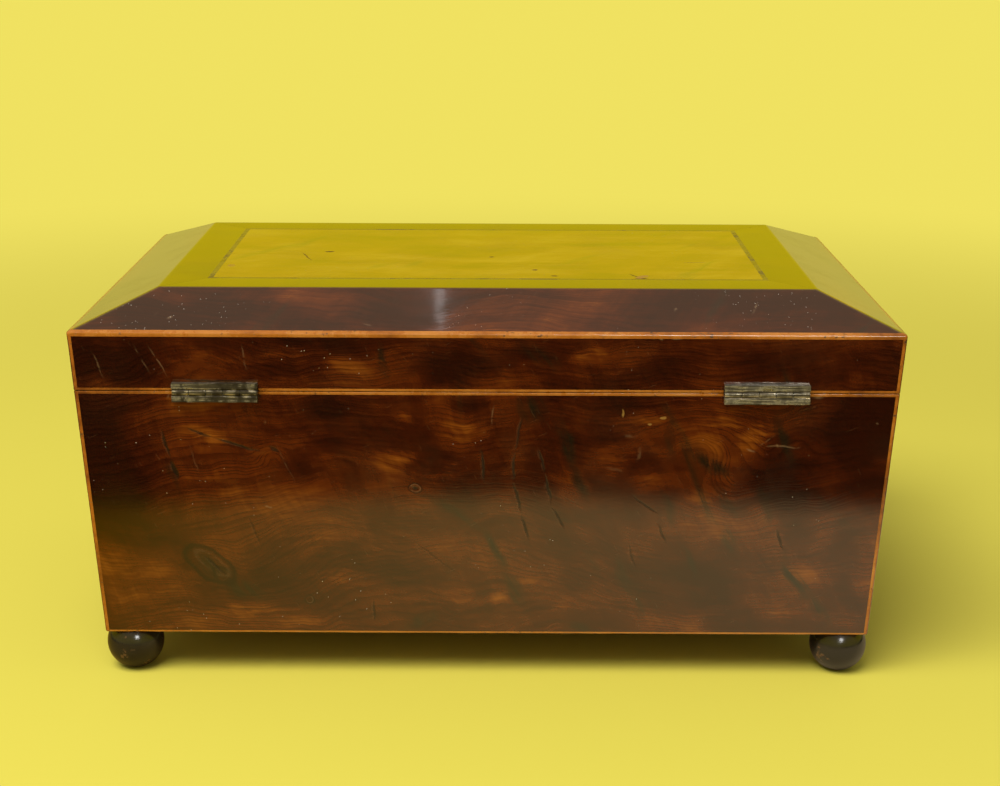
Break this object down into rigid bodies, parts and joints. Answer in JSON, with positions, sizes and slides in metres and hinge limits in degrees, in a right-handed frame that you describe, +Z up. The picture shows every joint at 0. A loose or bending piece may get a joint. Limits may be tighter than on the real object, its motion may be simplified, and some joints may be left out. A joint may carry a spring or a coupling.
{
  "type": "antique table knife box",
  "caption": "Antique table knife box of casket form: splayed veneered body on ball feet, hipped lid on stop hinges, box lock with key, lift-out tray with notched rests.",
  "frame": {"origin": "on the floor under the middle of the box, midway between the four ball feet", "axes": "+Z up, front with the lock towards -Y, hinges at +Y, +X to the right seen from the front"},
  "size_m": [0.31, 0.2243, 0.1498],
  "materials": {
    "carcase_wood": "bare sawn mahogany",
    "yew_veneer": "figured yew under French polish",
    "crossband_veneer": "crossbanded yew under French polish",
    "boxwood": "polished boxwood string",
    "rim_facing": "dark rosewood facing",
    "lining": "pasted green lining paper",
    "tray_wood": "waxed mahogany",
    "ebonised_wood": "turned, stained black and polished",
    "brass": "tarnished old brass",
    "steel": "worn steel"
  },
  "bodies": {
    "base": {"base_front_board": "carcase_wood", "base_back_board": "carcase_wood", "base_left_board": "carcase_wood", "base_right_board": "carcase_wood", "base_bottom_board": "carcase_wood", "base_front_veneer": "yew_veneer", "base_back_veneer": "yew_veneer", "base_left_veneer": "yew_veneer", "base_right_veneer": "yew_veneer", "base_corner_strings": "boxwood", "base_rim_strings": "boxwood", "base_bottom_strings": "boxwood", "base_rim_facings": "rim_facing", "well_lining": "lining", "tray_bearers": "tray_wood", "lower_knife_rests": "tray_wood", "foot_front_left": "ebonised_wood", "foot_front_right": "ebonised_wood", "foot_back_left": "ebonised_wood", "foot_back_right": "ebonised_wood", "hinge_base_leaf_left": "brass", "hinge_base_leaf_right": "brass", "hinge_pins": "steel", "base_screws": "brass", "lock_case": "brass", "escutcheon": "boxwood"},
    "lid": {"lid_front_board": "carcase_wood", "lid_back_board": "carcase_wood", "lid_left_board": "carcase_wood", "lid_right_board": "carcase_wood", "lid_top_board": "carcase_wood", "lid_front_veneer": "yew_veneer", "lid_back_veneer": "yew_veneer", "lid_left_veneer": "yew_veneer", "lid_right_veneer": "yew_veneer", "slope_front_veneer": "yew_veneer", "slope_back_veneer": "yew_veneer", "slope_left_veneer": "yew_veneer", "slope_right_veneer": "yew_veneer", "lid_crossbands": "crossband_veneer", "lid_panel_strings": "boxwood", "lid_panel_veneer": "yew_veneer", "lid_corner_strings": "boxwood", "lid_shoulder_strings": "boxwood", "lid_rim_strings": "boxwood", "lid_rim_facings": "rim_facing", "lid_lining": "lining", "hinge_lid_leaf_left": "brass", "hinge_lid_leaf_right": "brass", "lid_screws": "brass", "lock_loop_plate": "brass"},
    "tray": {"tray_front": "tray_wood", "tray_back": "tray_wood", "tray_left": "tray_wood", "tray_right": "tray_wood", "tray_bottom": "tray_wood", "tray_knife_rests": "tray_wood"},
    "lock_bolt": {"lock_bolt": "steel"},
    "key": {"key": "steel"}
  },
  "joints": [
    {"name": "lid_hinge", "type": "hinge", "parent": "base", "child": "lid", "pos_m": [0, 0.1015, 0.116], "axis": [-1, 0, 0], "range_deg": [0, 95]},
    {"name": "tray_lift", "type": "slide", "parent": "base", "child": "tray", "axis": [0, 0, 1], "range_m": [0, 0.022]},
    {"name": "key_turn", "type": "hinge", "parent": "base", "child": "key", "pos_m": [0, -0.0993, 0.10075], "axis": [0, 1, 0], "range_deg": [0, 180]},
    {"name": "bolt_slide", "type": "slide", "parent": "base", "child": "lock_bolt", "axis": [1, 0, 0], "range_m": [0, 0.004]}
  ],
  "couplings": [
    {"joint": "key_turn", "follows": "bolt_slide", "rad_per_m": 785.4}
  ]
}
